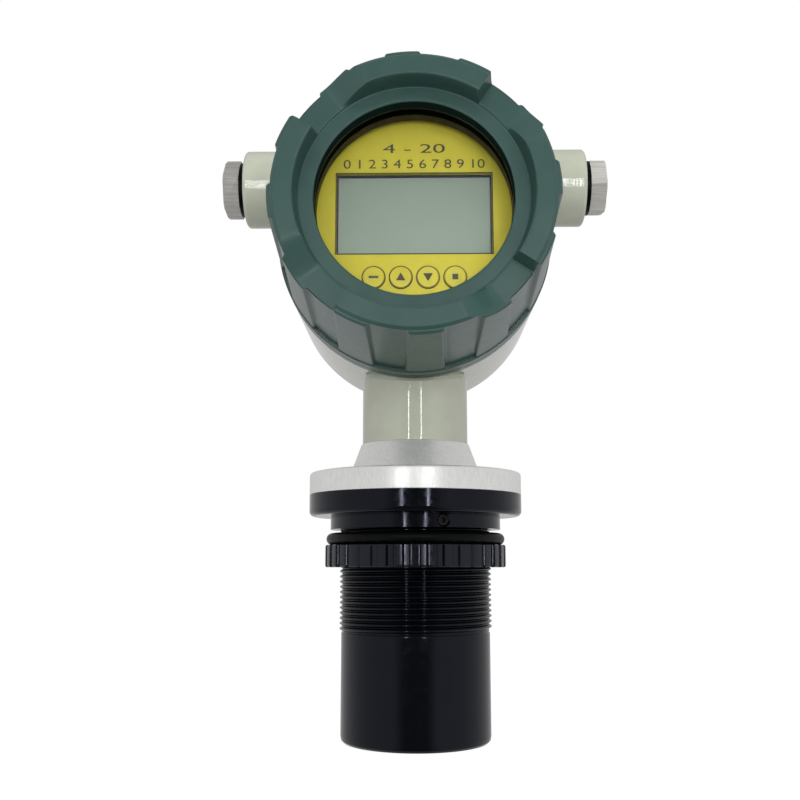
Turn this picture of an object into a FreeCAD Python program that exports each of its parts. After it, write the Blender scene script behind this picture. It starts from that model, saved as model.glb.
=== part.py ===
"""Ultrasonic level meter: a round instrument head on a neck, over a threaded probe.

Millimetres. The origin is the centre of the sensing face at the bottom of the probe, +Z is up
and the window of the head looks along -Y.
"""
import FreeCAD, Part
import math
import os
from FreeCAD import Vector

# Probe barrel
thread_diameter = 60.0
thread_depth = 0.75
exposed_thread = 25.1
barrel_length = 41.3
barrel_edge_round = 2.5
probe_wall = 4.0
face_thickness = 3.0

# Transducer stack inside the barrel
matching_gap = 3.25
matching_thickness = 5.5
piezo_inset = 3.0
piezo_thickness = 9.0
backing_cover = 10.0
potting_height = 32.0
sensor_diameter = 3.6
sensor_length = 9.0
sensor_angle = 200.0

# Lock nut and process seal
nut_wall = 5.9
nut_height = 8.7
nut_rib_count = 36
nut_groove_depth = 1.0
nut_groove_width = 2.6
nut_clearance = 0.3
process_seal_section = 4.6
process_seal_clearance = 0.8
process_seal_gap = 1.4

# Probe collar, with the grub screw that locks the probe thread
collar_wall = 3.8
collar_height = 5.2
collar_web = 1.9
collar_web_width = 10.0
flange_overhang = 8.5
black_flange_thickness = 8.4
black_flange_round = 2.0
grub_diameter = 4.0
grub_recess = 0.8
grub_socket = 2.0
grub_socket_depth = 1.6
grub_countersink = 0.6
grub_angle = 18.3

# Aluminium adapter between the collar and the neck
adapter_thickness = 8.65
adapter_round = 1.2
cone_height = 11.7
cone_spread = 4.3
cone_lap = 0.5
lower_spigot_diameter = 50.0
lower_spigot_length = 5.0
upper_spigot_diameter = 30.0
upper_spigot_length = 18.0
upper_spigot_wall = 6.0
flange_ring_offset = 9.0
flange_ring_section = 2.5
neck_ring_offset = 3.2
neck_ring_section = 2.0
groove_side_clearance = 0.2
thread_clearance = 0.1

# Liquid crystal display, which sets the size of the head
lcd_window_width = 56.2
lcd_window_height = 30.0
lcd_rise = 0.85
lcd_frame_lap = 0.4
lcd_frame_thickness = 1.5
lcd_border = 2.1
lcd_depth = 5.0
lcd_corner_clearance = 2.1

# Display module inside the head
dial_lap = 1.2
dial_thickness = 1.5
case_wall = 2.4
case_depth = 35.5
case_floor = 2.0
board_thickness = 1.6
board_clearance = 0.6
board_spacing = 13.4
standoff_diameter = 5.0
standoff_inset = 6.6
module_screw_diameter = 4.0
module_screw_head = 7.0
module_screw_head_height = 3.0
module_screw_inset = 0.7
module_screw_grip = 10.0
screw_socket = 3.0
screw_socket_depth = 1.6

# Keys on the dial
key_names = ("set_key", "up_key", "down_key", "ok_key")
key_diameter = 7.8
key_pitch = 9.75
key_drop = 9.0
key_clearance = 0.3
key_proud = 0.8
key_edge_round = 0.5
key_flange_width = 0.6
key_flange_thickness = 1.0
key_flange_gap = 0.1
key_travel = 0.5
key_stop_gap = 0.1
switch_side = 6.0
switch_height = 3.5
plunger_diameter = 3.5

# Cast housing: neck, round body and two conduit bosses
neck_diameter = 42.4
neck_height = 22.9
neck_step = 0.7
body_setback = 0.1
body_back = 46.0
body_edge_round = 4.5
back_wall = 5.0
cavity_gap = 3.4
spigot_wall = 3.5
spigot_length = 18.0
rib_radius = 7.0
rib_offset = 5.0
rib_count = 3
boss_diameter = 32.0
boss_rise = 32.0
boss_reach = 70.6
boss_end_round = 1.5
boss_blend = 6.0
conduit_diameter = 20.0
conduit_rib_gap = 6.0

# Front cover
cover_back = 20.0
cover_gap = 0.8
cover_length = 65.0
cover_bore_gap = 2.9
cover_thread_clearance = 0.3
cover_thread_relief = 2.0
cover_seal_section = 2.4
cover_seal_clearance = 0.5
seal_gap = 0.1
rim_wall = 6.3
rim_length = 10.5
rim_groove_depth = 0.5
rim_groove_width = 0.8
saddle_clearance = 1.2
recess_depth = 1.6
recess_draft = 2.8
recess_width = 11.2
recess_spread = 0.8
recess_slope = 0.65
lug_setback = 0.4
lug_draft = 2.4
lug_drop = 1.0
lug_chamfer = 0.7
lug_count = 12
lug_angle = 4.5
ring_width = 6.1
ring_chamfer = 1.7
ring_slope = 1.8
ring_height = 8.0
notch_count = 4
notch_angle = 57.5
notch_turn = 20.0
notch_ramp_turn = 15.0
notch_rest = 0.7

# Window in the cover
window_lap = 3.8
lip_thickness = 5.2
gasket_thickness = 1.0
glass_lap = 3.4
glass_thickness = 8.0
glass_clearance = 0.2
clamp_lap = 2.0
clamp_thickness = 5.0
clamp_setback = 0.4
dial_distance = 2.8

# Terminals and internal leads
terminal_width = 36.0
terminal_height = 14.0
terminal_depth = 16.0
terminal_rise = 4.0
terminal_screw_count = 3
terminal_screw_pitch = 10.0
terminal_screw_diameter = 4.8
terminal_screw_length = 5.0
terminal_slot_width = 0.8
terminal_slot_depth = 1.0
loop_lead_diameter = 1.8
loop_lead_spread = 5.0
loop_lead_drop = 4.0
lead_diameter = 4.0
lead_straight = 2.0
lead_drop = 12.0
lead_clearance = 0.3

# Conduit plugs
plug_corners = 24.2
left_corner_rise = 6.7
right_corner_rise = -11.5
plug_head_length = 6.5
plug_chamfer = 0.8
plug_thread_length = 12.0
plug_shank_wall = 3.0
plug_clearance = 0.3
plug_seal_thickness = 2.2
plug_seal_width = 1.0

# Diameters of the probe, collar and adapter
barrel_diameter = thread_diameter - 2 * thread_depth
probe_bore = barrel_diameter - 2 * probe_wall
matching_diameter = probe_bore - 2 * matching_gap
piezo_diameter = matching_diameter - 2 * piezo_inset
nut_diameter = thread_diameter + 2 * nut_wall
collar_diameter = thread_diameter + 2 * collar_wall
collar_web_bore = lower_spigot_diameter - 2 * collar_web_width
flange_diameter = collar_diameter + 2 * flange_overhang
flange_ring_diameter = lower_spigot_diameter + 2 * flange_ring_offset
neck_ring_diameter = upper_spigot_diameter + 2 * neck_ring_offset
adapter_bore = upper_spigot_diameter - 2 * upper_spigot_wall
cone_top_diameter = neck_diameter + 2 * cone_lap
cone_base_diameter = cone_top_diameter + 2 * cone_spread

# Diameters of the head, from the display outwards
lcd_width = lcd_window_width + 2 * lcd_border
lcd_height = lcd_window_height + 2 * lcd_border
lcd_corner = math.hypot(lcd_width / 2, lcd_height / 2 + abs(lcd_rise))
case_bore = 2 * (lcd_corner + lcd_corner_clearance)
case_diameter = case_bore + 2 * case_wall
dial_diameter = case_bore + 2 * dial_lap
board_diameter = case_bore - 2 * board_clearance
cavity_diameter = case_diameter + 2 * cavity_gap
spigot_diameter = cavity_diameter + 2 * spigot_wall
rim_diameter = spigot_diameter + 2 * rim_wall
saddle_diameter = rim_diameter + 2 * saddle_clearance
body_diameter = rim_diameter - 2 * body_setback
side_back_diameter = rim_diameter - 2 * recess_depth
side_front_diameter = side_back_diameter - 2 * recess_draft
lug_back_diameter = rim_diameter - 2 * lug_setback
lug_front_diameter = lug_back_diameter - 2 * lug_draft
ring_inner_diameter = side_front_diameter - 2 * ring_width
ring_edge_diameter = side_front_diameter - 2 * ring_chamfer
band_diameter = ring_inner_diameter - 2 * ring_slope
cover_bore = case_diameter + 2 * cover_bore_gap
window_diameter = dial_diameter - 2 * window_lap
glass_diameter = window_diameter + 2 * glass_lap
clamp_thread_diameter = glass_diameter + 2 * clamp_lap
clamp_bore = window_diameter + 2 * clamp_setback
module_screw_circle = case_bore / 2 - module_screw_head / 2 - module_screw_inset
rib_circle = module_screw_circle + rib_offset
standoff_circle = board_diameter / 2 - standoff_inset

# Heights along the probe axis
thread_start = barrel_length
nut_bottom = thread_start + exposed_thread
nut_top = nut_bottom + nut_height
collar_bottom = nut_top + process_seal_section + process_seal_gap
flange_bottom = collar_bottom + collar_height
adapter_bottom = flange_bottom + black_flange_thickness
cone_bottom = adapter_bottom + adapter_thickness
neck_bottom = cone_bottom + cone_height
head_z = neck_bottom + neck_height + saddle_diameter / 2
boss_z = head_z + boss_rise
web_top = adapter_bottom - lower_spigot_length - thread_clearance
web_bottom = web_top - collar_web
probe_top = web_bottom - thread_clearance
matching_top = face_thickness + matching_thickness
piezo_top = matching_top + piezo_thickness
backing_top = piezo_top + backing_cover
potting_top = backing_top + potting_height

# Places along the head axis, front to back
cover_front = -(cover_back + cover_length)
band_y = cover_front + ring_height
lip_back = band_y + lip_thickness
glass_front = lip_back + gasket_thickness
glass_back = glass_front + glass_thickness
clamp_back = glass_back + clamp_thickness
dial_front = clamp_back + dial_distance
dial_back = dial_front + dial_thickness
lcd_front = dial_back + lcd_frame_thickness
board_front = lcd_front + lcd_depth
board_back = board_front + board_thickness
main_front = board_back + board_spacing
main_back = main_front + board_thickness
case_back = dial_back + case_depth
floor_front = case_back - case_floor
rim_front = -(cover_back + rim_length)
shoulder = -(cover_back - cover_gap)
spigot_front = shoulder - spigot_length
seal_seat = shoulder - seal_gap - cover_seal_section
cavity_back = body_back - back_wall
terminal_front = cavity_back - terminal_depth
key_rise = lcd_rise - lcd_window_height / 2 - key_drop
loop_lead_rise = terminal_rise - loop_lead_drop
lead_bend = -case_back - lead_straight

probe_axis = Vector(0, 0, 1)
head_axis = Vector(0, 1, 0)
head_center = Vector(0, 0, head_z)
boss_center = Vector(0, 0, boss_z)
margin = 5.0
tolerance = 1e-4


def face_through(places, to_point):
    """Closed face through places; a pair of places is an arc through the first to the second."""
    edges = []
    here = to_point(*places[0])
    for place in places[1:] + places[:1]:
        if isinstance(place[0], tuple):
            middle = to_point(*place[0])
            end = to_point(*place[1])
            edges.append(Part.Arc(here, middle, end).toShape())
        else:
            end = to_point(*place)
            edges.append(Part.makeLine(here, end))
        here = end
    return Part.Face(Part.Wire(edges))


def probe_turned(places):
    """Solid of revolution about the probe axis from (radius, height) places."""
    face = face_through(places, lambda r, z: Vector(r, 0, z))
    return face.revolve(Vector(), probe_axis, 360)


def head_turned(places, turn=360, start=0):
    """Solid of revolution about the head axis from (radius, y) places.

    The start is an angle seen from the front, and the turn runs clockwise from it.
    """
    aim = math.radians(start)
    face = face_through(places, lambda r, y: Vector(r * math.cos(aim), y, head_z + r * math.sin(aim)))
    return face.revolve(head_center, head_axis, turn)


def probe_disc(diameter, bottom, top):
    return Part.makeCylinder(diameter / 2, top - bottom, Vector(0, 0, bottom), probe_axis)


def head_disc(diameter, front, back, x=0.0, rise=0.0):
    return Part.makeCylinder(diameter / 2, back - front, Vector(x, front, head_z + rise), head_axis)


def head_ring(outer, inner, front, back):
    return head_disc(outer, front, back).cut(head_disc(inner, front, back))


def head_block(width, height, front, back, x=0.0, rise=0.0):
    corner = Vector(x - width / 2, front, head_z + rise - height / 2)
    return Part.makeBox(width, back - front, height, corner)


def on_circle(radius, angle):
    """Sideways and upward offsets of a place on a circle about the head axis."""
    aim = math.radians(angle)
    return radius * math.cos(aim), radius * math.sin(aim)


def spun(shape, count):
    """Copies of a shape, evenly spaced about the head axis."""
    copies = []
    for step in range(count):
        copy = shape.copy()
        copy.rotate(head_center, head_axis, 360.0 * step / count)
        copies.append(copy)
    return copies


def hexagon(corners, center, corner_way, axis, length):
    """Hexagonal prism with a corner towards corner_way."""
    side_way = axis.cross(corner_way)
    points = []
    for step in range(7):
        aim = math.radians(60 * step)
        along = corner_way * (corners / 2 * math.cos(aim))
        across = side_way * (corners / 2 * math.sin(aim))
        points.append(center + along + across)
    return Part.Face(Part.makePolygon(points)).extrude(axis * length)


def across_flats(size):
    """Corner to corner size of a hexagon with the given size across its flats."""
    return size / math.cos(math.radians(30))


def rounded(shape, fillet, radius, center):
    """Fillet on the round edges of a given radius about a given centre."""
    edges = []
    for edge in shape.Edges:
        curve = edge.Curve
        if isinstance(curve, Part.Circle) and abs(curve.Radius - radius) < tolerance:
            if curve.Center.distanceToPoint(center) < tolerance:
                edges.append(edge)
    return shape.makeFillet(fillet, edges)


def seal_groove(ring_diameter, section, bottom, top):
    """Square groove for a seal ring in a face across the probe axis."""
    width = section + 2 * groove_side_clearance
    outer = probe_disc(ring_diameter + width, bottom, top)
    return outer.cut(probe_disc(ring_diameter - width, bottom, top))


def seal_ring(ring_diameter, section, height):
    return Part.makeTorus(ring_diameter / 2, section / 2, Vector(0, 0, height), probe_axis)


def make_probe_shell():
    """Closed barrel with a rounded lower edge and a thread at its upper end."""
    outer = barrel_diameter / 2
    thread = thread_diameter / 2
    bend = barrel_edge_round
    sag = bend * (1 - math.sqrt(0.5))
    return probe_turned([
        (0, 0),
        (outer - bend, 0),
        ((outer - sag, sag), (outer, bend)),
        (outer, thread_start),
        (thread, thread_start),
        (thread, probe_top),
        (probe_bore / 2, probe_top),
        (probe_bore / 2, face_thickness),
        (0, face_thickness),
    ])


def make_temperature_sensor():
    radius = (probe_bore + piezo_diameter) / 4
    aim = math.radians(sensor_angle)
    place = Vector(radius * math.cos(aim), radius * math.sin(aim), matching_top)
    return Part.makeCylinder(sensor_diameter / 2, sensor_length, place, probe_axis)


def make_transducer_lead():
    """Cable from the crystal up the neck, bent forward into the display module."""
    start = Vector(0, 0, piezo_top)
    turn_z = head_z - lead_drop
    sag = lead_bend * (1 - math.sqrt(0.5))
    bend_low = Vector(0, 0, turn_z - lead_bend)
    bend_middle = Vector(0, -sag, turn_z - sag)
    bend_high = Vector(0, -lead_bend, turn_z)
    end = Vector(0, main_back, turn_z)
    route = Part.Wire([
        Part.makeLine(start, bend_low),
        Part.Arc(bend_low, bend_middle, bend_high).toShape(),
        Part.makeLine(bend_high, end),
    ])
    section = Part.Wire([Part.makeCircle(lead_diameter / 2, start, probe_axis)])
    return route.makePipeShell([section], True, False)


def make_lock_nut():
    body = probe_disc(nut_diameter, nut_bottom, nut_top)
    body = body.cut(probe_disc(thread_diameter + 2 * nut_clearance, nut_bottom, nut_top))
    corner = Vector(nut_diameter / 2 - nut_groove_depth, -nut_groove_width / 2, nut_bottom)
    grooves = []
    for step in range(nut_rib_count):
        groove = Part.makeBox(nut_groove_depth + margin, nut_groove_width, nut_height, corner)
        groove.rotate(Vector(), probe_axis, 360.0 * (step + 0.5) / nut_rib_count)
        grooves.append(groove)
    return body.cut(grooves)


def grub_way():
    aim = math.radians(grub_angle)
    return Vector(math.sin(aim), -math.cos(aim), 0)


def grub_hole():
    """Radial screw hole through the collar's wall, with a small countersink."""
    way = grub_way()
    level = Vector(0, 0, (collar_bottom + flange_bottom) / 2)
    hole_radius = grub_diameter / 2 + thread_clearance
    outside = collar_diameter / 2
    inside = thread_diameter / 2
    hole = Part.makeCylinder(hole_radius, outside - inside + margin, level + way * inside, way)
    mouth = Part.makeCone(
        hole_radius, hole_radius + grub_countersink + margin, grub_countersink + margin,
        level + way * (outside - grub_countersink), way)
    return hole.fuse(mouth)


def make_collar_grub_screw():
    way = grub_way()
    level = Vector(0, 0, (collar_bottom + flange_bottom) / 2)
    inside = thread_diameter / 2 + thread_clearance
    length = collar_diameter / 2 - grub_recess - inside
    screw = Part.makeCylinder(grub_diameter / 2, length, level + way * inside, way)
    socket = hexagon(
        across_flats(grub_socket), level + way * (inside + length - grub_socket_depth),
        probe_axis, way, grub_socket_depth + margin)
    return screw.cut(socket)


def make_probe_collar():
    """Black flange and collar that the probe screws into from below and the adapter from above."""
    outer = flange_diameter / 2
    wall = collar_diameter / 2
    thread = thread_diameter / 2 + thread_clearance
    spigot = lower_spigot_diameter / 2 + thread_clearance
    collar = probe_turned([
        (collar_web_bore / 2, web_bottom),
        (thread, web_bottom),
        (thread, collar_bottom),
        (wall, collar_bottom),
        (wall, flange_bottom),
        (outer, flange_bottom),
        (outer, adapter_bottom),
        (spigot, adapter_bottom),
        (spigot, web_top),
        (collar_web_bore / 2, web_top),
    ])
    collar = rounded(collar, black_flange_round, outer, Vector(0, 0, flange_bottom))
    return collar.cut(grub_hole())


def make_adapter_flange():
    """Turned flange and cone with a threaded spigot at each end and a bore for the lead."""
    outer = flange_diameter / 2
    lower = lower_spigot_diameter / 2
    upper = upper_spigot_diameter / 2
    bore = adapter_bore / 2
    spigot_bottom = adapter_bottom - lower_spigot_length
    spigot_top = neck_bottom + upper_spigot_length
    adapter = probe_turned([
        (bore, spigot_bottom),
        (lower, spigot_bottom),
        (lower, adapter_bottom),
        (outer, adapter_bottom),
        (outer, cone_bottom),
        (cone_base_diameter / 2, cone_bottom),
        (cone_top_diameter / 2, neck_bottom),
        (upper, neck_bottom),
        (upper, spigot_top),
        (bore, spigot_top),
    ])
    adapter = rounded(adapter, adapter_round, outer, Vector(0, 0, cone_bottom))
    low_groove = seal_groove(
        flange_ring_diameter, flange_ring_section, adapter_bottom,
        adapter_bottom + flange_ring_section)
    top_groove = seal_groove(
        neck_ring_diameter, neck_ring_section, neck_bottom - neck_ring_section, neck_bottom)
    return adapter.cut([low_groove, top_groove])


def make_body():
    """Round body with both conduit bosses, blended where they leave it."""
    body = head_disc(body_diameter, shoulder, body_back)
    body = rounded(body, body_edge_round, body_diameter / 2, Vector(0, body_back, head_z))
    reach = Vector(boss_reach, 0, 0)
    bosses = Part.makeCylinder(
        boss_diameter / 2, 2 * boss_reach, boss_center - reach, Vector(1, 0, 0))
    for end in (boss_center - reach, boss_center + reach):
        bosses = rounded(bosses, boss_end_round, boss_diameter / 2, end)
    body = body.fuse(bosses)
    roots = []
    for edge in body.Edges:
        box = edge.BoundBox
        if isinstance(edge.Curve, Part.BSplineCurve) and box.XMin * box.XMax > 0:
            roots.append(edge)
    return body.makeFillet(boss_blend, roots)


def conduit_bore(side):
    """Threaded entry through a boss into the hollow, ending beside the upper rib."""
    way = Vector(side, 0, 0)
    inner_end = rib_radius + conduit_rib_gap
    return Part.makeCylinder(
        conduit_diameter / 2 + plug_clearance, boss_reach + margin - inner_end,
        boss_center + way * inner_end, way)


def make_housing_body():
    """Casting: body, bosses, threaded front spigot and neck, all hollow."""
    neck = probe_disc(neck_diameter, neck_bottom, head_z)
    neck = neck.cut(head_disc(saddle_diameter, -neck_diameter, neck_diameter))
    core = probe_disc(neck_diameter - 2 * neck_step, neck_bottom, head_z)
    core = core.cut(head_disc(saddle_diameter, -neck_diameter, shoulder))
    spigot = head_disc(spigot_diameter, spigot_front, shoulder + margin)
    casting = make_body().multiFuse([neck, core, spigot]).removeSplitter()

    hollow = head_disc(cavity_diameter, spigot_front - margin, cavity_back)
    x, rise = on_circle(rib_circle, 90)
    rib = head_disc(2 * rib_radius, case_back, cavity_back + margin, x, rise)
    hollow = hollow.cut(spun(rib, rib_count))
    thread_hole = probe_disc(
        upper_spigot_diameter + 2 * thread_clearance, neck_bottom - margin,
        neck_bottom + upper_spigot_length + thread_clearance)
    wire_hole = probe_disc(adapter_bore, neck_bottom, head_z)
    holes = [hollow, thread_hole, wire_hole, conduit_bore(-1), conduit_bore(1)]
    return casting.cut(holes + screw_shanks())


def screw_places():
    for step in range(rib_count):
        yield on_circle(module_screw_circle, 90 + 360.0 * step / rib_count)


def screw_shanks():
    shanks = []
    for x, rise in screw_places():
        shanks.append(head_disc(module_screw_diameter, floor_front, case_back + module_screw_grip, x, rise))
    return shanks


def make_module_screws():
    """Socket screws that hold the module's floor to the ribs in the housing."""
    screws = []
    head_front = floor_front - module_screw_head_height
    for (x, rise), shank in zip(screw_places(), screw_shanks()):
        head = head_disc(module_screw_head, head_front, floor_front, x, rise)
        socket = hexagon(
            across_flats(screw_socket), Vector(x, head_front - margin, head_z + rise),
            probe_axis, head_axis, margin + screw_socket_depth)
        screws.append(head.fuse(shank).removeSplitter().cut(socket))
    return Part.makeCompound(screws)


def ring_notch():
    """One saw-tooth notch across the raised front ring: a flat rest, then a ramp back up."""
    low = band_y - notch_rest
    high = cover_front - margin
    inside = window_diameter / 2
    rest = head_turned([
        (inside, high),
        (rim_diameter, high),
        (rim_diameter, low),
        (inside, low),
    ], notch_turn, notch_angle)
    aim = math.radians(notch_angle - notch_turn - notch_ramp_turn / 2)
    out_way = Vector(math.cos(aim), 0, math.sin(aim))
    along = Vector(math.sin(aim), 0, -math.cos(aim))
    mean_radius = (side_front_diameter + ring_inner_diameter) / 4
    half = mean_radius * math.tan(math.radians(notch_ramp_turn / 2))
    base = head_center + out_way * inside
    places = [
        (-half - margin, low),
        (-half, low),
        (half, cover_front),
        (half, high),
        (-half - margin, high),
    ]
    face = face_through(places, lambda t, y: base + along * t + Vector(0, y, 0))
    return rest.fuse(face.extrude(out_way * (rim_diameter / 2)))


def side_recesses():
    """Shallow recesses between the gripping lugs, wider to the front, down to the tapered side."""
    length = rim_front - cover_front

    def section(y):
        forward = (rim_front - y) / length
        floor = side_back_diameter / 2 - recess_draft * forward
        half = recess_width / 2 + recess_spread * forward
        low = half - recess_slope * margin
        high = half + 2 * recess_slope * margin
        places = [
            (-low, floor - margin),
            (low, floor - margin),
            (high, floor + 2 * margin),
            (-high, floor + 2 * margin),
        ]
        return face_through(places, lambda t, r: Vector(t, y, head_z + r)).OuterWire

    recess = Part.makeLoft([section(cover_front - margin), section(rim_front)], True, True)
    recess.rotate(head_center, head_axis, 90 - lug_angle - 180.0 / lug_count)
    core = head_turned([
        (0, cover_front),
        (ring_edge_diameter / 2, cover_front),
        (side_front_diameter / 2, cover_front + ring_chamfer),
        (side_back_diameter / 2, rim_front),
        (0, rim_front),
    ])
    return [one.cut(core) for one in spun(recess, lug_count)]


def make_front_cover():
    """Screwed cover with a raised front ring, gripping lugs and a stepped window opening."""
    thread = spigot_diameter / 2 + cover_thread_clearance
    thread_front = spigot_front - cover_thread_relief
    seal_outer = spigot_diameter / 2 + 2 * cover_seal_clearance + cover_seal_section
    groove_y = rim_front + rim_length / 2
    half_groove = rim_groove_width / 2
    rim = rim_diameter / 2
    lug = lug_front_diameter / 2
    pocket = glass_diameter / 2 + glass_clearance
    clamp = clamp_thread_diameter / 2 + thread_clearance
    cover = head_turned([
        (window_diameter / 2, band_y),
        (band_diameter / 2, band_y),
        (ring_inner_diameter / 2, cover_front),
        (ring_edge_diameter / 2, cover_front),
        (ring_edge_diameter / 2 + lug_drop, cover_front + lug_drop),
        (lug - lug_chamfer, cover_front + lug_drop),
        (lug, cover_front + lug_drop + lug_chamfer),
        (lug_back_diameter / 2, rim_front),
        (rim, rim_front),
        (rim, groove_y - half_groove),
        (rim - rim_groove_depth, groove_y),
        (rim, groove_y + half_groove),
        (rim, -cover_back),
        (seal_outer, -cover_back),
        (seal_outer, seal_seat),
        (thread, seal_seat),
        (thread, thread_front),
        (cover_bore / 2, thread_front),
        (cover_bore / 2, clamp_back),
        (clamp, clamp_back),
        (clamp, glass_back),
        (pocket, glass_back),
        (pocket, lip_back),
        (window_diameter / 2, lip_back),
    ])
    return cover.cut(side_recesses() + spun(ring_notch(), notch_count))


def make_cover_seal():
    radius = spigot_diameter / 2 + cover_seal_clearance + cover_seal_section / 2
    center = Vector(0, seal_seat + cover_seal_section / 2, head_z)
    return Part.makeTorus(radius, cover_seal_section / 2, center, head_axis)


def key_places():
    middle = (len(key_names) - 1) / 2
    for index, name in enumerate(key_names):
        yield name, (index - middle) * key_pitch


def make_dial_plate():
    """Face plate with the display window and a hole for each key."""
    cuts = [head_block(lcd_window_width, lcd_window_height, dial_front, dial_back, 0, lcd_rise)]
    for _, x in key_places():
        cuts.append(head_disc(key_diameter + 2 * key_clearance, dial_front, dial_back, x, key_rise))
    return head_disc(dial_diameter, dial_front, dial_back).cut(cuts)


def make_key(x):
    """Round key with a flange that keeps it behind the face plate."""
    front = dial_front - key_proud
    flange_front = dial_back + key_flange_gap
    flange_back = flange_front + key_flange_thickness
    cap = head_disc(key_diameter, front, flange_front, x, key_rise)
    cap = rounded(cap, key_edge_round, key_diameter / 2, Vector(x, front, head_z + key_rise))
    flange = head_disc(key_diameter + 2 * key_flange_width, flange_front, flange_back, x, key_rise)
    return cap.fuse(flange).removeSplitter()


def make_key_switches():
    """Push switches on the display board, each just clear of a fully pressed key."""
    tip = dial_back + key_flange_gap + key_flange_thickness + key_travel + key_stop_gap
    base = board_front - switch_height
    switches = []
    for _, x in key_places():
        block = head_block(switch_side, switch_side, base, board_front, x, key_rise)
        plunger = head_disc(plunger_diameter, tip, base, x, key_rise)
        switches.append(block.fuse(plunger).removeSplitter())
    return Part.makeCompound(switches)


def make_lcd_frame():
    outer = head_block(lcd_width, lcd_height, dial_back, lcd_front, 0, lcd_rise)
    opening = head_block(
        lcd_window_width - 2 * lcd_frame_lap, lcd_window_height - 2 * lcd_frame_lap,
        dial_back, lcd_front, 0, lcd_rise)
    return outer.cut(opening)


def loop_lead_discs(diameter, front, back):
    discs = []
    for x in (-loop_lead_spread, loop_lead_spread):
        discs.append(head_disc(diameter, front, back, x, loop_lead_rise))
    return discs


def make_module_case():
    """Round cup that carries the boards and the face plate."""
    case = head_disc(case_diameter, dial_back, case_back)
    holes = [head_disc(case_bore, dial_back, floor_front)]
    holes.append(head_disc(lead_diameter + 2 * lead_clearance, floor_front, case_back, 0, -lead_drop))
    holes += loop_lead_discs(loop_lead_diameter + 2 * lead_clearance, floor_front, case_back)
    return case.cut(holes + screw_shanks())


def make_board_standoffs():
    """Spacers from the module's floor to the main board, and from there to the display board."""
    spacers = []
    for step in range(rib_count):
        x, rise = on_circle(standoff_circle, 270 + 360.0 * step / rib_count)
        for front, back in ((board_back, main_front), (main_back, floor_front)):
            spacers.append(head_disc(standoff_diameter, front, back, x, rise))
    return Part.makeCompound(spacers)


def terminal_screw_discs():
    discs = []
    middle = (terminal_screw_count - 1) / 2
    for step in range(terminal_screw_count):
        x = (step - middle) * terminal_screw_pitch
        discs.append(head_disc(
            terminal_screw_diameter, terminal_front, terminal_front + terminal_screw_length,
            x, terminal_rise))
    return discs


def make_terminal_screws():
    slot = head_block(
        terminal_width, terminal_slot_width, terminal_front, terminal_front + terminal_slot_depth,
        0, terminal_rise)
    return Part.makeCompound([disc.cut(slot) for disc in terminal_screw_discs()])


def make_terminal_block():
    block = head_block(terminal_width, terminal_height, terminal_front, cavity_back, 0, terminal_rise)
    return block.cut(terminal_screw_discs())


def make_plug(side, corner_rise):
    """Conduit plug with a hollow shank; its chamfered hexagon head stopped at its own turn."""
    way = Vector(side, 0, 0)
    seat = boss_reach + plug_seal_thickness
    aim = math.radians(corner_rise)
    corner_way = Vector(0, -math.cos(aim), math.sin(aim))
    head = hexagon(plug_corners, boss_center + way * seat, corner_way, way, plug_head_length)
    limit = Part.makeCone(
        plug_corners / 2 + plug_head_length, plug_corners / 2 - plug_chamfer,
        plug_head_length + plug_chamfer, boss_center + way * (seat - plug_chamfer), way)
    shank = Part.makeCylinder(
        conduit_diameter / 2, plug_thread_length + plug_seal_thickness,
        boss_center + way * (boss_reach - plug_thread_length), way)
    hollow = Part.makeCylinder(
        conduit_diameter / 2 - plug_shank_wall, plug_thread_length,
        boss_center + way * (boss_reach - plug_thread_length), way)
    return head.common(limit).fuse(shank).removeSplitter().cut(hollow)


def make_plug_seal(side):
    way = Vector(side, 0, 0)
    start = boss_center + way * boss_reach
    bore = conduit_diameter / 2 + plug_clearance
    washer = Part.makeCylinder(bore + plug_seal_width, plug_seal_thickness, start, way)
    return washer.cut(Part.makeCylinder(bore, plug_seal_thickness, start, way))


parts = {}
parts["probe_shell"] = make_probe_shell()
parts["matching_layer"] = probe_disc(matching_diameter, face_thickness, matching_top)
parts["piezo_disc"] = probe_disc(piezo_diameter, matching_top, piezo_top)
parts["temperature_sensor"] = make_temperature_sensor()
parts["transducer_lead"] = make_transducer_lead()
parts["backing_block"] = probe_disc(probe_bore, face_thickness, backing_top).cut([
    parts["matching_layer"],
    parts["piezo_disc"],
    parts["temperature_sensor"],
    parts["transducer_lead"],
])
parts["potting_fill"] = probe_disc(probe_bore, backing_top, potting_top).cut(parts["transducer_lead"])
parts["lock_nut"] = make_lock_nut()
parts["process_seal"] = seal_ring(
    thread_diameter + 2 * process_seal_clearance + process_seal_section, process_seal_section,
    nut_top + process_seal_section / 2)
parts["probe_collar"] = make_probe_collar()
parts["collar_grub_screw"] = make_collar_grub_screw()
parts["adapter_flange"] = make_adapter_flange()
parts["flange_seal"] = seal_ring(
    flange_ring_diameter, flange_ring_section, adapter_bottom + flange_ring_section / 2)
parts["neck_seal"] = seal_ring(
    neck_ring_diameter, neck_ring_section, neck_bottom - neck_ring_section / 2)
parts["housing_body"] = make_housing_body()
parts["front_cover"] = make_front_cover()
parts["cover_seal"] = make_cover_seal()
parts["window_gasket"] = head_ring(glass_diameter, window_diameter, lip_back, glass_front)
parts["window_glass"] = head_disc(glass_diameter, glass_front, glass_back)
parts["window_clamp_ring"] = head_ring(clamp_thread_diameter, clamp_bore, glass_back, clamp_back)
parts["dial_plate"] = make_dial_plate()
for key_name, key_x in key_places():
    parts[key_name] = make_key(key_x)
parts["key_switches"] = make_key_switches()
parts["lcd_frame"] = make_lcd_frame()
parts["lcd_panel"] = head_block(lcd_width, lcd_height, lcd_front, board_front, 0, lcd_rise)
parts["display_board"] = head_disc(board_diameter, board_front, board_back)
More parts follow.
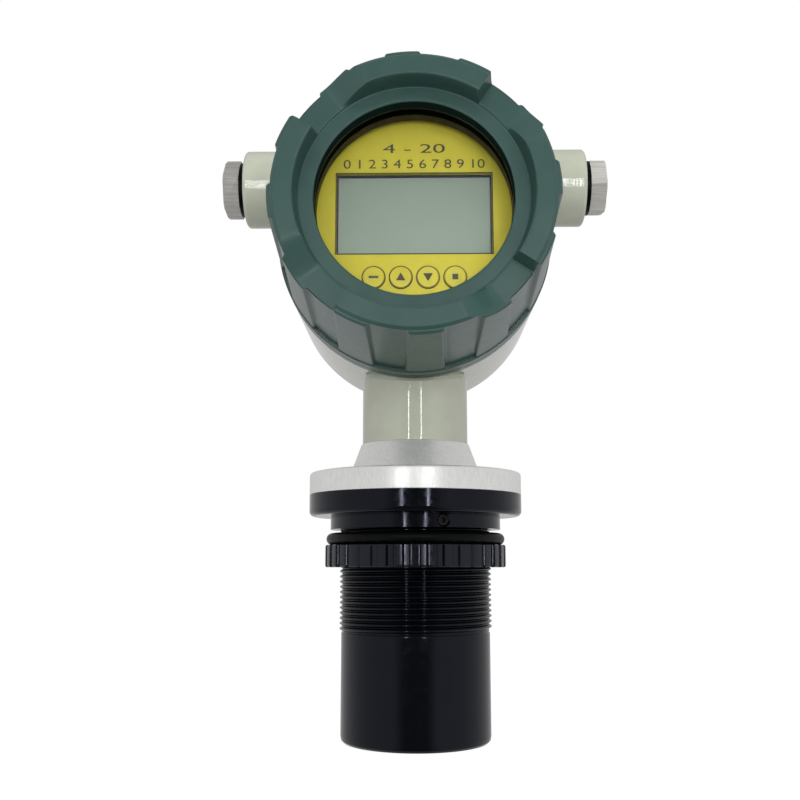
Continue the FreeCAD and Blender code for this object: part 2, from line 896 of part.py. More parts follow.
parts["main_board"] = head_disc(board_diameter, main_front, main_back)
parts["board_standoffs"] = make_board_standoffs()
parts["module_case"] = make_module_case()
parts["module_screws"] = make_module_screws()
parts["terminal_block"] = make_terminal_block()
parts["terminal_screws"] = make_terminal_screws()
parts["loop_leads"] = Part.makeCompound(loop_lead_discs(loop_lead_diameter, main_back, terminal_front))
for side_name, side, corner_rise in (("left", -1, left_corner_rise), ("right", 1, right_corner_rise)):
    parts[side_name + "_plug"] = make_plug(side, corner_rise)
    parts[side_name + "_plug_seal"] = make_plug_seal(side)

os.makedirs("parts", exist_ok=True)
for node, shape in parts.items():
    shape.exportStep(os.path.join("parts", node + ".step"))
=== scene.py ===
import bpy
import math
import numpy as np
from mathutils import Matrix, Vector


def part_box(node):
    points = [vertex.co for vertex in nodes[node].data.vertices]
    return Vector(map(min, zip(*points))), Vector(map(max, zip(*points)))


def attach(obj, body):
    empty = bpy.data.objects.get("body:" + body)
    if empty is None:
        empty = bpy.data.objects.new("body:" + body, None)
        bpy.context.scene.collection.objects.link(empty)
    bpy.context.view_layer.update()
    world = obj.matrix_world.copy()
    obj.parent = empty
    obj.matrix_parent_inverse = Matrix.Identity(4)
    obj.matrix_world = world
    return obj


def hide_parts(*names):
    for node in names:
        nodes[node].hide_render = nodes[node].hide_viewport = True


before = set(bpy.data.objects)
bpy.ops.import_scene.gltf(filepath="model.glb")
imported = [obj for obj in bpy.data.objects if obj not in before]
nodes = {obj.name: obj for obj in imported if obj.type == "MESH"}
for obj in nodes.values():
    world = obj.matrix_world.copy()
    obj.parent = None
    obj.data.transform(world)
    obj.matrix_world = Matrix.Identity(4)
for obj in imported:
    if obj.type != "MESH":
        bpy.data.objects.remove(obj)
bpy.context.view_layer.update()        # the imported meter: one object per node, in metres
scene = bpy.context.scene
mm = 0.001
weld = 0.002 * mm        # corners closer than this are one
softAngle = 32           # degrees, for turned and pressed pieces
crispAngle = 25          # degrees, for plugs and print
print("frame:", len(nodes), "nodes")


def boxOf(node):         # low and high corner in millimetres
    low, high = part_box(node)
    return Vector(low) / mm, Vector(high) / mm


headHeight = sum(boxOf("window_glass"), Vector()).z / 2
headCenter = Vector((0, 0, headHeight * mm))
probeCenter = Vector((0, 0, 0))
headAxis = Vector((0, 1, 0))
probeAxis = Vector((0, 0, 1))


# selecting and editing

def clearSelection():
    if bpy.context.object and bpy.context.object.mode != "OBJECT":
        bpy.ops.object.mode_set(mode="OBJECT")
    bpy.ops.object.select_all(action="DESELECT")
    bpy.context.tool_settings.mesh_select_mode = (True, False, False)


def pick(obj):
    clearSelection()
    obj.select_set(True)
    bpy.context.view_layer.objects.active = obj
    return obj


def placesOf(obj):       # corner places in millimetres, one row each
    flat = np.empty(3 * len(obj.data.vertices), np.float32)
    obj.data.vertices.foreach_get("co", flat)
    return flat.reshape(-1, 3) / mm


def editPoints(obj, wanted):       # edit mode with only these corners selected
    pick(obj)
    mesh = obj.data
    mesh.polygons.foreach_set("select", np.zeros(len(mesh.polygons), bool))
    mesh.edges.foreach_set("select", np.zeros(len(mesh.edges), bool))
    mesh.vertices.foreach_set("select", wanted)
    bpy.ops.object.mode_set(mode="EDIT")


def closeMesh():         # joins doubled corners, turns faces outwards, leaves edit mode
    bpy.ops.mesh.select_all(action="SELECT")
    bpy.ops.mesh.remove_doubles(threshold=weld)
    bpy.ops.mesh.normals_make_consistent(inside=False)
    bpy.ops.object.mode_set(mode="OBJECT")


def settle(obj, smoothAngle):      # place goes into the mesh, then soft shading
    pick(obj)
    bpy.ops.object.transform_apply(location=True, rotation=True, scale=True)
    if smoothAngle:
        bpy.ops.object.shade_smooth_by_angle(angle=math.radians(smoothAngle))
    return obj


def applyTo(obj, kind, **settings):
    pick(obj)
    change = obj.modifiers.new(kind.lower(), kind)
    for key, value in settings.items():
        setattr(change, key, value)
    bpy.ops.object.modifier_apply(modifier=change.name)


def softPath(corners, closed, cuts=3):
    # corners are (out, along) or (out, along, bend): the bend is trimmed off both sides
    path = []
    count = len(corners)
    support = 0.15       # a corner this far beside each bend keeps the long flats flat
    for spot, corner in enumerate(corners):
        here = Vector(corner[:2])
        bend = corner[2] if len(corner) > 2 else 0
        if not bend or (not closed and spot in (0, count - 1)):
            path.append(here)
            continue
        back = Vector(corners[spot - 1][:2]) - here
        ahead = Vector(corners[(spot + 1) % count][:2]) - here
        start = here + back.normalized() * bend
        end = here + ahead.normalized() * bend
        if back.length > bend + 1:
            path.append(start + back.normalized() * support)
        for cut in range(cuts + 1):
            t = cut / cuts
            path.append(start * (1 - t) ** 2 + here * 2 * t * (1 - t) + end * t * t)
        if ahead.length > bend + 1:
            path.append(end + ahead.normalized() * support)
    return path


def drawPath(name, path):          # one corner pulled along the path, left selected in edit mode
    clearSelection()
    bpy.ops.mesh.primitive_plane_add(size=mm, location=path[0])
    obj = bpy.context.object
    obj.name = name
    bpy.ops.object.mode_set(mode="EDIT")
    bpy.ops.mesh.select_all(action="SELECT")
    bpy.ops.mesh.merge(type="CENTER")
    for here, there in zip(path, path[1:]):
        bpy.ops.mesh.extrude_region_move(TRANSFORM_OT_translate={"value": there - here})
    bpy.ops.mesh.select_all(action="SELECT")
    return obj


def turned(name, corners, center, axis, steps, closed=True, start=0, sweep=360):
    side = Matrix.Rotation(math.radians(start), 3, axis) @ Vector((1, 0, 0))
    path = [center + (side * out + axis * along) * mm for out, along in softPath(corners, closed)]
    if closed:
        path.append(path[0])
    obj = drawPath(name, path)
    bpy.ops.mesh.spin(steps=steps, angle=math.radians(sweep), center=center, axis=axis)
    closeMesh()
    return settle(obj, softAngle)


def mergedCopy(node, name, smoothAngle):
    obj = bpy.data.objects.new(name, nodes[node].data.copy())
    scene.collection.objects.link(obj)
    pick(obj)
    bpy.ops.object.mode_set(mode="EDIT")
    bpy.ops.mesh.select_all(action="SELECT")
    bpy.ops.mesh.remove_doubles(threshold=weld)
    bpy.ops.object.mode_set(mode="OBJECT")
    return settle(obj, smoothAngle)


def fit(obj, body, slot, finish, *replaced):
    obj.data.materials.clear()
    obj.data.materials.append(finish)
    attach(obj, body)
    if replaced:
        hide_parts(*replaced)


def dress(finish, *names):
    for name in names:
        nodes[name].data.materials.clear()
        nodes[name].data.materials.append(finish)


# finishes

def newFinish(name, rough, metal=0.0):
    finish = bpy.data.materials.new(name)
    finish.use_nodes = True
    tree = finish.node_tree
    shader = tree.nodes["Principled BSDF"]
    shader.inputs["Roughness"].default_value = rough
    shader.inputs["Metallic"].default_value = metal
    return finish, tree, shader


def lightPath(tree, ray):
    return tree.nodes.new("ShaderNodeLightPath").outputs[ray]


def ease(tree, source, low, high):         # 0 below low, 1 above high, smooth between
    step = tree.nodes.new("ShaderNodeMapRange")
    step.interpolation_type = "SMOOTHSTEP"
    step.inputs["From Min"].default_value = low
    step.inputs["From Max"].default_value = high
    tree.links.new(source, step.inputs["Value"])
    return step.outputs["Result"]


def blend(tree, factor, first, second):    # first and second are numbers or sockets
    mix = tree.nodes.new("ShaderNodeMix")
    tree.links.new(factor, mix.inputs["Factor"])
    for key, value in (("A", first), ("B", second)):
        if isinstance(value, (int, float)):
            mix.inputs[key].default_value = value
        else:
            tree.links.new(value, mix.inputs[key])
    return mix.outputs["Result"]


def grain(tree, size, stretch=(1, 1, 1), detail=3.0):     # noise with grains this many mm wide
    coords = tree.nodes.new("ShaderNodeTexCoord")
    mapping = tree.nodes.new("ShaderNodeMapping")
    mapping.inputs["Scale"].default_value = [1 / (size * mm * s) for s in stretch]
    noise = tree.nodes.new("ShaderNodeTexNoise")
    noise.inputs["Scale"].default_value = 1.0
    noise.inputs["Detail"].default_value = detail
    tree.links.new(coords.outputs["Object"], mapping.inputs["Vector"])
    tree.links.new(mapping.outputs["Vector"], noise.inputs["Vector"])
    return noise.outputs["Fac"]


def tint(tree, shader, factor, dark, light):
    ramp = tree.nodes.new("ShaderNodeValToRGB")
    ramp.color_ramp.elements[0].position = 0.3
    ramp.color_ramp.elements[0].color = (*dark, 1)
    ramp.color_ramp.elements[1].position = 0.7
    ramp.color_ramp.elements[1].color = (*light, 1)
    tree.links.new(factor, ramp.inputs["Fac"])
    tree.links.new(ramp.outputs["Color"], shader.inputs["Base Color"])


def roughen(tree, shader, factor, low, high):
    spread = tree.nodes.new("ShaderNodeMapRange")
    spread.inputs["From Min"].default_value = 0.3
    spread.inputs["From Max"].default_value = 0.7
    spread.inputs["To Min"].default_value = low
    spread.inputs["To Max"].default_value = high
    tree.links.new(factor, spread.inputs["Value"])
    tree.links.new(spread.outputs["Result"], shader.inputs["Roughness"])


def emboss(tree, shader, factor, depth, strength=0.5):
    bump = tree.nodes.new("ShaderNodeBump")
    bump.inputs["Strength"].default_value = strength
    bump.inputs["Distance"].default_value = depth * mm
    tree.links.new(factor, bump.inputs["Height"])
    tree.links.new(bump.outputs["Normal"], shader.inputs["Normal"])


def openTo(finish, ray):           # these rays pass as if nothing were there
    tree = finish.node_tree
    through = tree.nodes.new("ShaderNodeBsdfTransparent")
    mix = tree.nodes.new("ShaderNodeMixShader")
    tree.links.new(lightPath(tree, ray), mix.inputs["Fac"])
    tree.links.new(tree.nodes["Principled BSDF"].outputs["BSDF"], mix.inputs[1])
    tree.links.new(through.outputs["BSDF"], mix.inputs[2])
    tree.links.new(mix.outputs["Shader"], tree.nodes["Material Output"].inputs["Surface"])


def objectPlace(tree):
    coords = tree.nodes.new("ShaderNodeTexCoord")
    split = tree.nodes.new("ShaderNodeSeparateXYZ")
    tree.links.new(coords.outputs["Object"], split.inputs["Vector"])
    return split.outputs


def paint(name, dark, light, rough, peel, size, stretch=(1, 1, 1)):
    finish, tree, shader = newFinish(name, rough)
    tint(tree, shader, grain(tree, 9), dark, light)
    roughen(tree, shader, grain(tree, 4), rough - 0.02, rough + 0.02)
    emboss(tree, shader, grain(tree, size, stretch, 1), peel)
    return finish


def peelBeyond(finish, reach, fade=4):     # rings in the paint on the two bosses only
    tree = finish.node_tree
    bump = tree.nodes["Bump"]
    across = tree.nodes.new("ShaderNodeMath")
    across.operation = "ABSOLUTE"
    tree.links.new(objectPlace(tree)["X"], across.inputs[0])
    mask = ease(tree, across.outputs["Value"], reach * mm, (reach + fade) * mm)
    bumps = bump.inputs["Height"].links[0].from_socket
    tree.links.new(blend(tree, mask, 0.5, bumps), bump.inputs["Height"])


def paintShadeOnWindowWall(finish, radius, shade, fade=(0.02, 0.15)):        # painted shade: dull dark colour on the window's wall, which lies in shade
    tree = finish.node_tree
    shader = tree.nodes["Principled BSDF"]
    place = objectPlace(tree)
    flat = tree.nodes.new("ShaderNodeCombineXYZ")
    tree.links.new(place["X"], flat.inputs["X"])
    tree.links.new(place["Z"], flat.inputs["Z"])
    far = tree.nodes.new("ShaderNodeVectorMath")
    far.operation = "DISTANCE"
    far.inputs[1].default_value = headCenter
    tree.links.new(flat.outputs["Vector"], far.inputs[0])
    mix = tree.nodes.new("ShaderNodeMix")
    mix.data_type = "RGBA"
    mix.inputs["A"].default_value = (*shade, 1)
    tree.links.new(shader.inputs["Base Color"].links[0].from_socket, mix.inputs["B"])
    mask = ease(tree, far.outputs["Value"], (radius + fade[0]) * mm, (radius + fade[1]) * mm)
    tree.links.new(mask, mix.inputs["Factor"])
    tree.links.new(mix.outputs["Result"], shader.inputs["Base Color"])
    tree.links.new(blend(tree, mask, 0.0, 0.5), shader.inputs["Specular IOR Level"])


def plastic(name, dark, light, rough, grainDepth=0.01, gloss=0.5):
    finish, tree, shader = newFinish(name, rough)
    shader.inputs["Specular IOR Level"].default_value = gloss
    tint(tree, shader, grain(tree, 5), dark, light)
    roughen(tree, shader, grain(tree, 2.5), rough - 0.05, rough + 0.05)
    emboss(tree, shader, grain(tree, 0.6), grainDepth, 0.3)
    return finish


def metal(name, dark, light, rough, stretch=(1, 1, 1), depth=0.01, share=1.0):
    finish, tree, shader = newFinish(name, rough, share)
    lines = grain(tree, 0.5, stretch)
    tint(tree, shader, lines, dark, light)
    roughen(tree, shader, grain(tree, 3), rough - 0.05, rough + 0.05)
    emboss(tree, shader, lines, depth, 0.3)
    return finish


def clearPane(name):     # bends sight, and lets lamp light through to what is behind
    finish, tree, shader = newFinish(name, 0.02)
    shader.inputs["Base Color"].default_value = (0.96, 0.98, 0.97, 1)
    shader.inputs["Transmission Weight"].default_value = 1.0
    shader.inputs["IOR"].default_value = 1.45
    roughen(tree, shader, grain(tree, 6), 0.01, 0.03)
    openTo(finish, "Is Shadow Ray")
    return finish


castPaint = paint("castPaint", (0.44, 0.46, 0.373), (0.48, 0.50, 0.408), 0.06, 0.12, 0.9, (1, 4, 4))
peelBeyond(castPaint, 48)
coverPaint = paint("coverPaint", (0.0265, 0.068, 0.059), (0.0315, 0.077, 0.067), 0.32, 0.01, 2.5)
dialFilm = plastic("dialFilm", (0.47, 0.405, 0.033), (0.505, 0.44, 0.041), 0.4, 0.005, 0.15)
dialInk = plastic("dialInk", (0.022, 0.020, 0.006), (0.032, 0.030, 0.009), 0.5)
keyFilm = plastic("keyFilm", (0.475, 0.41, 0.033), (0.51, 0.445, 0.038), 0.22)
lcdGlass = plastic("lcdGlass", (0.218, 0.266, 0.221), (0.227, 0.275, 0.23), 0.35, 0.001, 0.2)
lcdEdge = plastic("lcdEdge", (0.22, 0.25, 0.24), (0.23, 0.26, 0.25), 0.35, 0.001)
blackBezel = plastic("blackBezel", (0.006, 0.006, 0.006), (0.009, 0.009, 0.009), 0.45)
windowPane = clearPane("windowPane")
sealRubber = plastic("sealRubber", (0.0008, 0.0011, 0.0014), (0.0012, 0.0015, 0.0018), 0.4, 0.005, 0.12)
probePlastic = plastic("probePlastic", (0.0010, 0.0012, 0.0018), (0.0014, 0.0017, 0.0024), 0.11, 0.002, 0.3)
nutPlastic = plastic("nutPlastic", (0.0012, 0.0014, 0.002), (0.0018, 0.002, 0.0027), 0.16, 0.001, 0.5)
for finish in (probePlastic, nutPlastic):
    finish.node_tree.nodes["Principled BSDF"].inputs["Specular Tint"].default_value = (0.74, 0.78, 1, 1)
turnedAlloy = metal("turnedAlloy", (0.76, 0.76, 0.74), (0.87, 0.87, 0.85), 0.36, (1, 1, 6), 0.02, 0.65)
leftNickel = metal("leftNickel", (0.33, 0.32, 0.30), (0.55, 0.54, 0.51), 0.42, (30, 1, 1), 0.03, 0.6)
# painted light: the right plug gets a lighter, less metallic copy of the nickel, standing in for the brighter
# light on its facets
rightNickelPaintedLight = metal("rightNickelPaintedLight", (0.38, 0.37, 0.345), (0.56, 0.55, 0.51), 0.42, (30, 1, 1), 0.03, 0.15)
# painted shade: the window's clamp ring is near-black, standing in for the shade inside the window
clampRingShade = metal("clampRingShade", (0.006, 0.006, 0.005), (0.01, 0.01, 0.008), 0.45)
screwSteel = metal("screwSteel", (0.30, 0.30, 0.30), (0.42, 0.42, 0.42), 0.35)
blackSteel = metal("blackSteel", (0.02, 0.02, 0.022), (0.03, 0.03, 0.033), 0.35)
standoffBrass = metal("standoffBrass", (0.55, 0.40, 0.16), (0.66, 0.50, 0.22), 0.35)
boardGreen = plastic("boardGreen", (0.012, 0.075, 0.03), (0.02, 0.10, 0.045), 0.4)
switchBlack = plastic("switchBlack", (0.014, 0.014, 0.015), (0.022, 0.022, 0.023), 0.45)
moduleGrey = plastic("moduleGrey", (0.03, 0.03, 0.028), (0.045, 0.045, 0.042), 0.5)
terminalGreen = plastic("terminalGreen", (0.02, 0.16, 0.06), (0.03, 0.20, 0.08), 0.45)
leadJacket = plastic("leadJacket", (0.02, 0.02, 0.022), (0.03, 0.03, 0.033), 0.5)
matchingResin = plastic("matchingResin", (0.30, 0.26, 0.16), (0.36, 0.31, 0.20), 0.5)
piezoCeramic = plastic("piezoCeramic", (0.50, 0.44, 0.32), (0.58, 0.52, 0.40), 0.4)
backingCork = plastic("backingCork", (0.10, 0.06, 0.03), (0.22, 0.14, 0.07), 0.8, 0.2)
pottingResin = plastic("pottingResin", (0.02, 0.02, 0.02), (0.03, 0.03, 0.03), 0.3)

dress(castPaint, "housing_body")
dress(probePlastic, "probe_collar")
dress(lcdEdge, "lcd_panel")
dress(sealRubber, "process_seal", "flange_seal", "neck_seal", "cover_seal", "window_gasket")
dress(sealRubber, "left_plug_seal", "right_plug_seal")
dress(clampRingShade, "window_clamp_ring")
dress(dialFilm, "dial_plate")
dress(keyFilm, "set_key", "up_key", "down_key", "ok_key")
dress(blackBezel, "lcd_frame")
dress(boardGreen, "display_board", "main_board")
dress(switchBlack, "key_switches")
dress(moduleGrey, "module_case")
dress(standoffBrass, "board_standoffs")
dress(screwSteel, "module_screws", "terminal_screws", "temperature_sensor")
dress(blackSteel, "collar_grub_screw")
dress(terminalGreen, "terminal_block")
dress(leadJacket, "loop_leads", "transducer_lead")
dress(matchingResin, "matching_layer")
dress(piezoCeramic, "piezo_disc")
dress(backingCork, "backing_block")
dress(pottingResin, "potting_fill")
print("finishes:", len(bpy.data.materials))


# front cover: one lug pitch is turned and pressed, then swept round and notched

glassLow, glassHigh = boxOf("window_glass")
clampLow, clampHigh = boxOf("window_clamp_ring")
coverLow, coverHigh = boxOf("front_cover")

cover = {
    "columns": 60,             # in one lug pitch
    "lugCount": 12,
    "lugAngle": 4.5,           # degrees from +X, seen from the front
    "rimLength": 10.5,
    "grooveDepth": 0.5,
    "grooveHalf": 0.4,
    "recessDepth": 1.6,
    "recessDraft": 2.8,
    "recessWidth": 11.2,
    "recessSpread": 0.8,
    "recessSlope": 0.65,
    "lugSetback": 0.4,
    "lugDraft": 2.4,
    "lugDrop": 1.0,
    "lugChamfer": 0.7,
    "lugInner": 1.1,           # a lug starts this far out from the ring's edge
    "lugFoot": (0.04, 0.8),    # last bit of a lug before the rim, in and along
    "ringWidth": 7.3,
    "ringChamfer": 0.7,
    "ringSlope": 1.1,
    "ringHeight": 8.0,
    "ringEdge": 0.7,
    "windowLap": 3.4,
    "windowEdge": 0.8,
    "lipBend": 0.4,
    "frontBend": 0.35,
    "lugBend": 0.3,
    "rimBend": 0.25,
    "backBend": 0.5,
    "lipShade": (0.008, 0.022, 0.018),
    "gasket": 1.0,
    "clampGap": 0.1,
    "glassGap": 0.2,
    "sealRadius": 49.93,
    "sealDepth": 1.7,
    "threadRadius": 46.83,
    "threadDepth": 19.2,
    "boreRadius": 42.53,
    "notchCount": 4,
    "notchAngle": 57.5,
    "notchStep": 1.5,          # degrees down the step, along the floor and up the ramp
    "notchRest": 18.0,
    "notchRamp": 19.0,
    "notchDepth": 7.3,
    "notchEdge": 0.6,
    "notchSkin": 3.0,          # corners this near the front go down with a notch
    "notchReach": 8.0,         # inwards from the ring's edge
}
coverFront = coverLow.y
coverBack = coverHigh.y
rimRadius = coverHigh.x
rimFront = coverBack - cover["rimLength"]
floorBack = rimRadius - cover["recessDepth"]
floorFront = floorBack - cover["recessDraft"]
lugBack = rimRadius - cover["lugSetback"]
lugFront = lugBack - cover["lugDraft"]
ringEdge = floorFront - cover["ringChamfer"]
windowRadius = glassHigh.x - cover["windowLap"]


def coverCorners():
    lip = coverFront + cover["ringHeight"]
    ringInner = floorFront - cover["ringWidth"]
    drop = cover["lugDrop"]
    chamfer = cover["lugChamfer"]
    bend = cover["lugBend"]
    footIn, footUp = cover["lugFoot"]
    groove = (rimFront + coverBack) / 2
    half = cover["grooveHalf"]
    seat = glassLow.y - cover["gasket"]
    seal = coverBack - cover["sealDepth"]
    thread = coverBack - cover["threadDepth"]
    clamp = clampHigh.x + cover["clampGap"]
    glass = glassHigh.x + cover["glassGap"]
    return [
        (windowRadius, seat), (windowRadius, lip, cover["windowEdge"]),
        (ringInner - cover["ringSlope"], lip, cover["lipBend"]), (ringInner, coverFront, cover["ringEdge"]),
        (ringEdge, coverFront, cover["frontBend"]), (ringEdge + drop, coverFront + drop),
        (lugFront - chamfer, coverFront + drop, bend), (lugFront, coverFront + drop + chamfer, bend),
        (lugBack - footIn, rimFront - footUp), (lugBack, rimFront), (rimRadius, rimFront, cover["rimBend"]),
        (rimRadius, groove - half), (rimRadius - cover["grooveDepth"], groove), (rimRadius, groove + half),
        (rimRadius, coverBack, cover["backBend"]), (cover["sealRadius"], coverBack),
        (cover["sealRadius"], seal), (cover["threadRadius"], seal), (cover["threadRadius"], thread),
        (cover["boreRadius"], thread), (cover["boreRadius"], clampHigh.y), (clamp, clampHigh.y),
        (clamp, clampLow.y), (glass, clampLow.y), (glass, seat),
    ]


def aroundHead(places):
    turn = np.degrees(np.arctan2(places[:, 2] - headHeight, places[:, 0])) % 360
    out = np.hypot(places[:, 2] - headHeight, places[:, 0])
    return turn, out


def recessAt(along, lugRadius):    # floor and top edge of a recess in degrees, and its depth
    forward = (rimFront - along) / (rimFront - coverFront)
    floor = min(floorBack - cover["recessDraft"] * forward, ringEdge + along - coverFront)
    depth = lugRadius - floor
    half = (cover["recessWidth"] + 2 * cover["recessSpread"] * forward) / 2
    return math.degrees(half / floor), math.degrees((half + cover["recessSlope"] * depth) / lugRadius), depth


def pressRecess(obj):
    places = placesOf(obj)
    turn, out = aroundHead(places)
    middle = cover["lugAngle"] + 180 / cover["lugCount"]
    column = np.round(((turn - middle + 180) % 360 - 180) * 2) / 2
    near = 0.05
    lug = (places[:, 1] < rimFront + near) & (out > ringEdge + cover["lugInner"]) & (out < lugBack + near)
    ring = np.round(places[:, 1], 2) * 1000 + np.round(out, 2)
    for level in np.unique(ring[lug]):
        onRing = lug & (ring == level)
        lugRadius = float(out[onRing].mean())
        low, high, depth = recessAt(float(places[onRing, 1].mean()), lugRadius)
        spots = [3.5, 6.5, 7, 7.5, 8, 8.5, 11.5]      # columns, and where they belong on this ring
        goals = [3.5, low - 0.3, low, (low + high) / 2, high, high + 0.3, 11.5]
        for step in range(8, 23):
            shift = float(np.interp(step / 2, spots, goals)) - step / 2
            for way in (-1, 1):
                editPoints(obj, onRing & (column == way * step / 2))
                bpy.ops.transform.rotate(value=math.radians(way * shift), orient_axis="Y",
                                         center_override=headCenter)
                bpy.ops.object.mode_set(mode="OBJECT")
        for edge, share in ((6.5, 1.0), (7.0, 0.92), (7.5, 0.5), (8.0, 0.08)):
            reached = np.abs(column) <= edge if edge == 6.5 else np.abs(column) == edge
            shrink = 1 - share * depth / lugRadius
            editPoints(obj, onRing & reached)
            bpy.ops.transform.resize(value=(shrink, 1, shrink), center_override=headCenter)
            bpy.ops.object.mode_set(mode="OBJECT")


def repeatLugs(obj):
    count = cover["lugCount"]
    editPoints(obj, np.ones(len(obj.data.vertices), bool))
    turnBy = 2 * math.pi * (count - 1) / count
    bpy.ops.mesh.spin(steps=count - 1, dupli=True, angle=turnBy, center=headCenter, axis=headAxis)
    closeMesh()


def pressNotches(obj):
    places = placesOf(obj)
    turn, out = aroundHead(places)
    past = (cover["notchAngle"] - turn) % (360 / cover["notchCount"])      # degrees on from the step
    ramp = np.clip(1 - (past - cover["notchRest"]) / cover["notchRamp"], 0, 1)
    ramp = np.minimum(ramp, past / cover["notchStep"])
    share = np.round(ramp * ramp * (3 - 2 * ramp), 3)
    raised = (places[:, 1] < coverFront + cover["notchSkin"]) & (out > ringEdge - cover["notchReach"])
    outside = places[:, 1] > coverFront + cover["lugDrop"] + cover["lugChamfer"] / 2
    for level in np.unique(share[share > 0]):
        for part, edge in ((~outside, 0), (outside, cover["notchEdge"])):
            rest = coverFront + cover["notchDepth"] * float(level) + edge
            editPoints(obj, raised & part & (share == level) & (places[:, 1] < rest))
            bpy.ops.transform.resize(value=(1, 0, 1), center_override=(0, rest * mm, headHeight * mm))
            bpy.ops.object.mode_set(mode="OBJECT")


coverShell = turned("coverShell", coverCorners(), headCenter, headAxis, cover["columns"],
                    start=-cover["lugAngle"], sweep=360 / cover["lugCount"])
pressRecess(coverShell)
repeatLugs(coverShell)
pressNotches(coverShell)
settle(coverShell, softAngle)
# painted shade on the window's wall inside the lip
paintShadeOnWindowWall(coverPaint, windowRadius, cover["lipShade"])
fit(coverShell, "front_cover", "cover_paint", coverPaint, "front_cover")
print("cover:", len(coverShell.data.polygons), "faces")

paneEdge = 0.5
windowDisc = turned("windowDisc", [
    (0, glassLow.y), (glassHigh.x, glassLow.y, paneEdge),
    (glassHigh.x, glassHigh.y, paneEdge), (0, glassHigh.y),
], headCenter, headAxis, 128, closed=False)
fit(windowDisc, "front_cover", "window_glass", windowPane, "window_glass")


# hexagon plugs in the conduit bosses

plugEdge = 0.35


def makePlug(name, finish):
    obj = mergedCopy(name + "_plug", name + "HexPlug", crispAngle)
    applyTo(obj, "BEVEL", width=plugEdge * mm, segments=3, limit_method="ANGLE",
            angle_limit=math.radians(crispAngle))
    settle(obj, crispAngle)
    fit(obj, name + "_plug", "plug_nickel", finish, name + "_plug")


makePlug("left", leftNickel)
makePlug("right", rightNickelPaintedLight)


# dial print and display

dialLow, dialHigh = boxOf("dial_plate")
lcdLow, lcdHigh = boxOf("lcd_panel")

printed = {
    "ink": 0.03,
    "inkSink": 0.05,           # how far a mark reaches into its key
    "upper": ("4 - 20", 22.6, 3.4, 25.3),              # words, width, height, rise above the axis
    "lower": ("0 1 2 3 4 5 6 7 8 9 10", 51.4, 3.4, 19.4),
    "keyMark": 1.75,           # half size of a mark on a key
    "keyRing": (3.97, 4.35),
    "shadeLine": 0.45,
    "frameEdge": 2.1,          # from the display's edge to its opening in the dial
    "sheetEdge": (3.6, 3.0, 2.6, 3.4),     # display margin: left, right, below, above
    "sheet": 0.1,
}


def printLine(name, words, width, height, rise):
    place = (0, dialLow.y * mm, (headHeight + rise) * mm)
    clearSelection()
    bpy.ops.object.text_add(location=place, rotation=(math.pi / 2, 0, 0))
    obj = bpy.context.object
    obj.name = name
    obj.data.body = words
    obj.data.align_x = "CENTER"
    obj.data.align_y = "CENTER"
    obj.data.size = height * mm
    obj.data.extrude = printed["ink"] * mm
    bpy.ops.object.convert(target="MESH")
    obj = bpy.context.object
    obj.scale = (width * mm / obj.dimensions.x, height * mm / obj.dimensions.y, 1)
    bpy.ops.object.transform_apply(location=True, rotation=True, scale=True)
    bpy.ops.object.mode_set(mode="EDIT")
    closeMesh()
    settle(obj, crispAngle)
    fit(obj, "housing", "dial_film", dialInk)


def flatShape(name, points, front, depth):     # points are (across, up) in millimetres
    obj = drawPath(name, [Vector((x, front, z)) * mm for x, z in points])
    bpy.ops.mesh.edge_face_add()
    bpy.ops.mesh.extrude_region_move(TRANSFORM_OT_translate={"value": (0, depth * mm, 0)})
    closeMesh()
    return settle(obj, crispAngle)


def keyMark(key, points):          # raised ink on a key cap, points as shares of the mark size
    low, high = boxOf(key)
    across = (low.x + high.x) / 2
    up = (low.z + high.z) / 2
    size = printed["keyMark"]
    obj = flatShape(key.replace("_key", "Mark"), [(across + x * size, up + z * size) for x, z in points],
                    low.y - printed["ink"], printed["ink"] + printed["inkSink"])
    fit(obj, key, "key_film", dialInk)


def keyRing(key):                  # printed ring round the key's hole
    low, high = boxOf(key)
    middle = (low + high) / 2 * mm
    inner, outer = printed["keyRing"]
    front = dialLow.y - printed["ink"]
    obj = turned(key.replace("_key", "Ring"), [
        (inner, front), (outer, front), (outer, dialLow.y), (inner, dialLow.y),
    ], Vector((middle.x, 0, middle.z)), headAxis, 64)
    fit(obj, "housing", "dial_film", dialInk)


def shadeLine(name):               # painted shade: dark ink line round the display opening, standing in for the shadow at the opening's edge
    edge = printed["frameEdge"] - printed["shadeLine"]
    width = lcdHigh.x - lcdLow.x - 2 * edge
    height = lcdHigh.z - lcdLow.z - 2 * edge
    middle = Vector(((lcdLow.x + lcdHigh.x) / 2, dialLow.y, (lcdLow.z + lcdHigh.z) / 2)) * mm
    clearSelection()
    bpy.ops.mesh.primitive_plane_add(size=mm, location=middle, rotation=(math.pi / 2, 0, 0))
    obj = bpy.context.object
    obj.name = name
    obj.scale = (width, height, 1)
    bpy.ops.object.transform_apply(location=True, rotation=True, scale=True)
    bpy.context.tool_settings.mesh_select_mode = (False, False, True)
    bpy.ops.object.mode_set(mode="EDIT")
    bpy.ops.mesh.select_all(action="SELECT")
    bpy.ops.mesh.inset(thickness=printed["shadeLine"] * mm)
    bpy.ops.mesh.delete(type="FACE")
    bpy.ops.mesh.select_all(action="SELECT")
    bpy.ops.mesh.extrude_region_move(TRANSFORM_OT_translate={"value": (0, -printed["ink"] * mm, 0)})
    closeMesh()
    settle(obj, crispAngle)
    fit(obj, "housing", "dial_film", dialInk)


